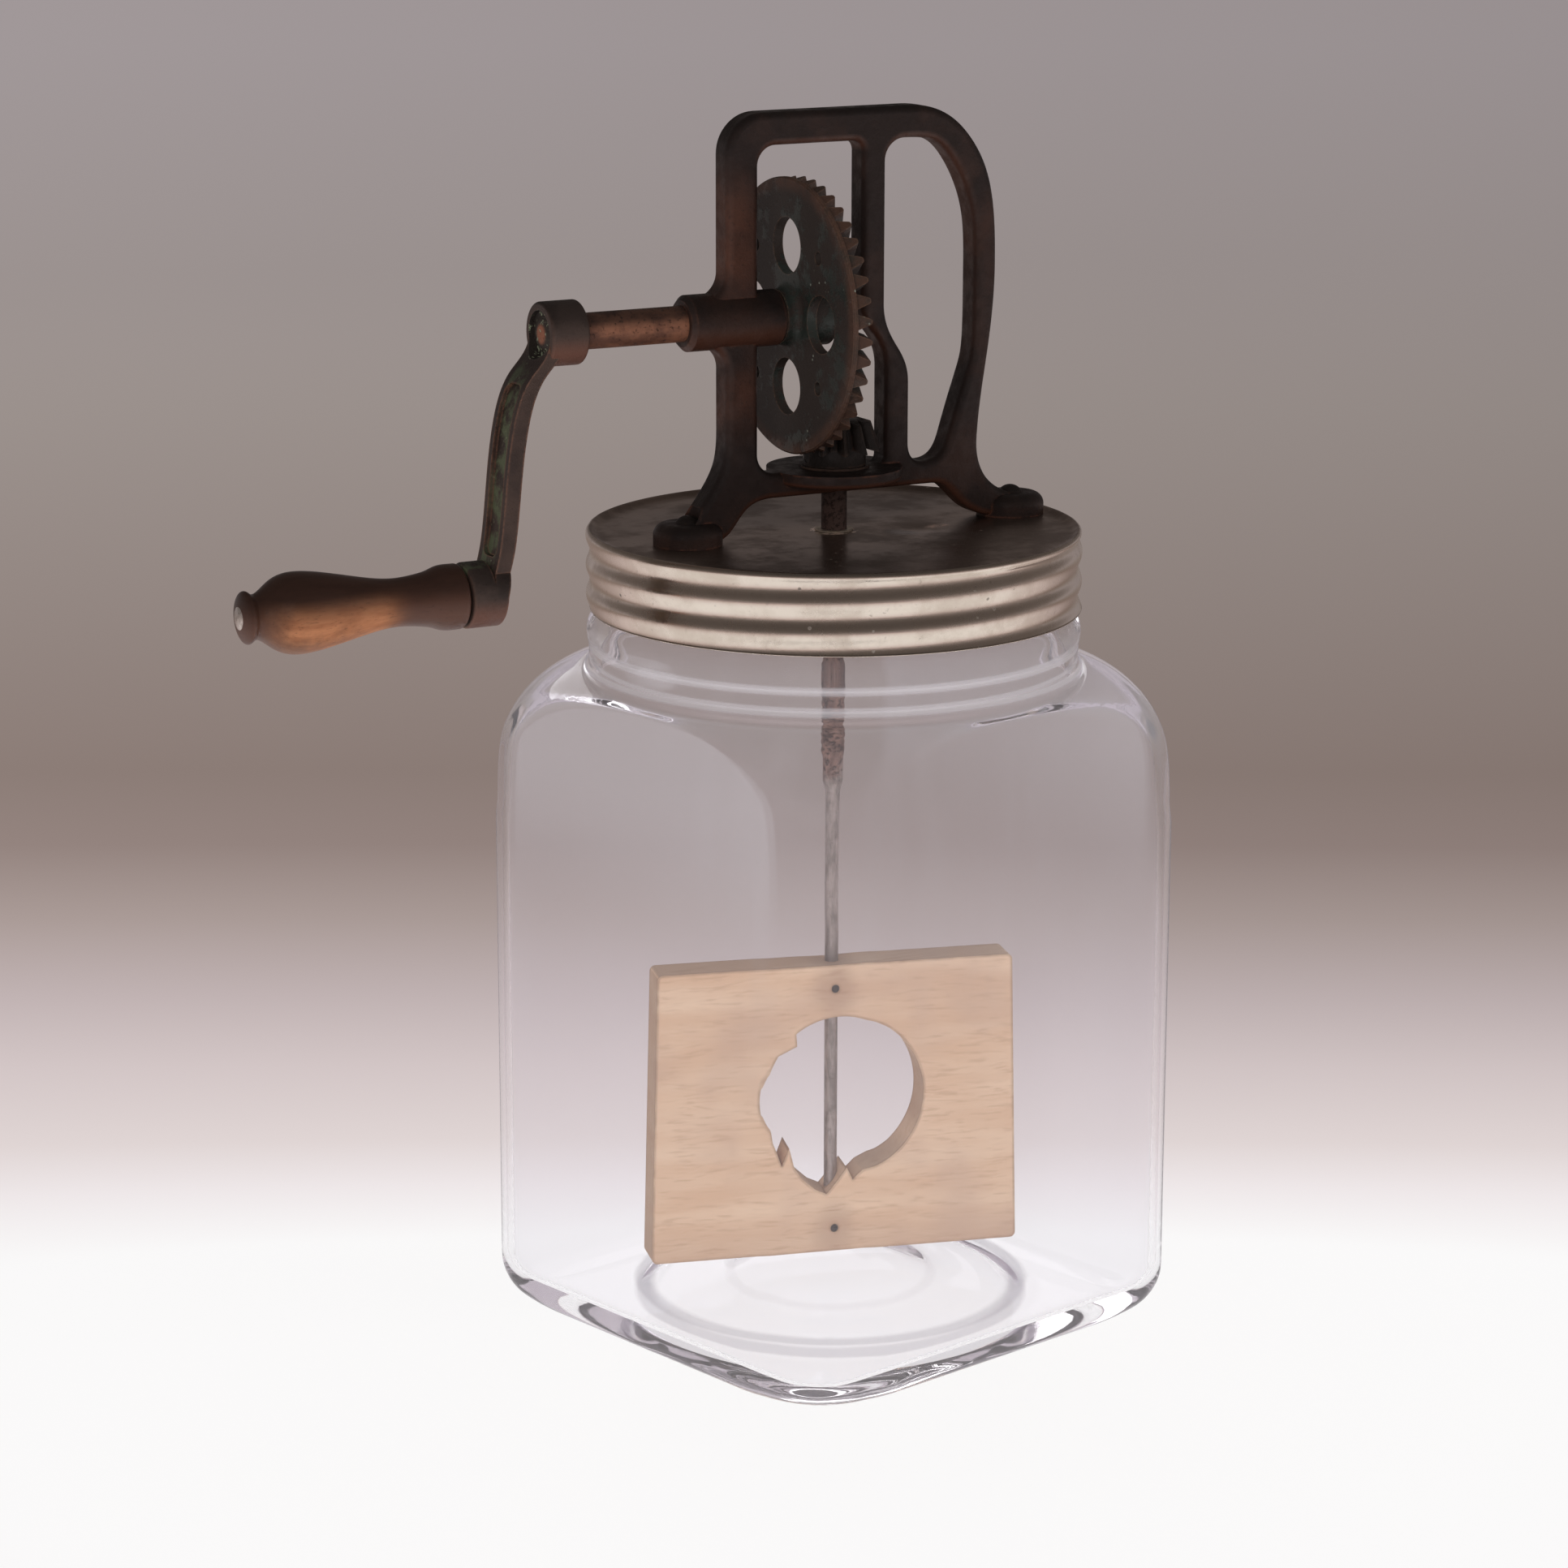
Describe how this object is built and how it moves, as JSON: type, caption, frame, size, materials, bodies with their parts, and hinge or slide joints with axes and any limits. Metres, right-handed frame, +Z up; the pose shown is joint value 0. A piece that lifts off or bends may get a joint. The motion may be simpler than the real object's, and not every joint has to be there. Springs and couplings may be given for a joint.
{
  "type": "hand-cranked mixing jar",
  "caption": "Square glass jar with a screw lid that carries a cast frame, crank, bevel gears and a spindle turning a wooden paddle.",
  "frame": {"origin": "jar axis at the plane of the jar's foot", "axes": "+Z up along the spindle; the crank shaft lies along X, with the crank towards -X and the carrying handle towards +X"},
  "size_m": [0.2585, 0.1664, 0.3371],
  "materials": {
    "clear_glass": "gloss",
    "tinned_sheet": "satin",
    "dark_casting": "satin",
    "green_casting": "satin",
    "rusty_steel": "matte",
    "bright_steel": "satin",
    "grip_wood": "satin",
    "paddle_wood": "matte",
    "gasket_rubber": "matte"
  },
  "bodies": {
    "jar": {"glass_jar": "clear_glass"},
    "seal": {"lid_gasket": "gasket_rubber"},
    "lid": {"screw_lid": "tinned_sheet", "spindle_eyelet": "bright_steel", "frame_rivets": "dark_casting", "rivet_washers": "rusty_steel", "gear_frame": "dark_casting", "shaft_washer": "rusty_steel", "pinion_washer": "rusty_steel"},
    "crank": {"crank_shaft": "rusty_steel", "drive_gear": "green_casting", "gear_pin": "rusty_steel", "crank_arm": "dark_casting", "grip_pin": "bright_steel", "grip_washer": "rusty_steel"},
    "knob": {"grip": "grip_wood"},
    "stirrer": {"spindle": "rusty_steel", "pinion": "dark_casting", "pinion_pin": "rusty_steel", "paddle": "paddle_wood", "paddle_pins": "rusty_steel"}
  },
  "joints": [
    {"name": "lid_rise", "type": "slide", "parent": "jar", "child": "seal", "axis": [0, 0, 1], "range_m": [0, 0.02025]},
    {"name": "lid_turn", "type": "hinge", "parent": "seal", "child": "lid", "pos_m": [0, 0, 0.2], "axis": [0, 0, 1], "range_deg": [0, 900]},
    {"name": "crank_turn", "type": "hinge", "parent": "lid", "child": "crank", "pos_m": [-0.06, 0, 0.282], "axis": [1, 0, 0], "continuous": true},
    {"name": "spindle_spin", "type": "hinge", "parent": "lid", "child": "stirrer", "pos_m": [0, 0, 0.237], "axis": [0, 0, 1], "continuous": true},
    {"name": "grip_spin", "type": "hinge", "parent": "crank", "child": "knob", "pos_m": [-0.14, 0, 0.2146], "axis": [1, 0, 0], "continuous": true}
  ],
  "couplings": [
    {"joint": "lid_rise", "follows": "lid_turn", "m_per_rad": 0.0012892},
    {"joint": "spindle_spin", "follows": "crank_turn", "ratio": -3.5}
  ]
}
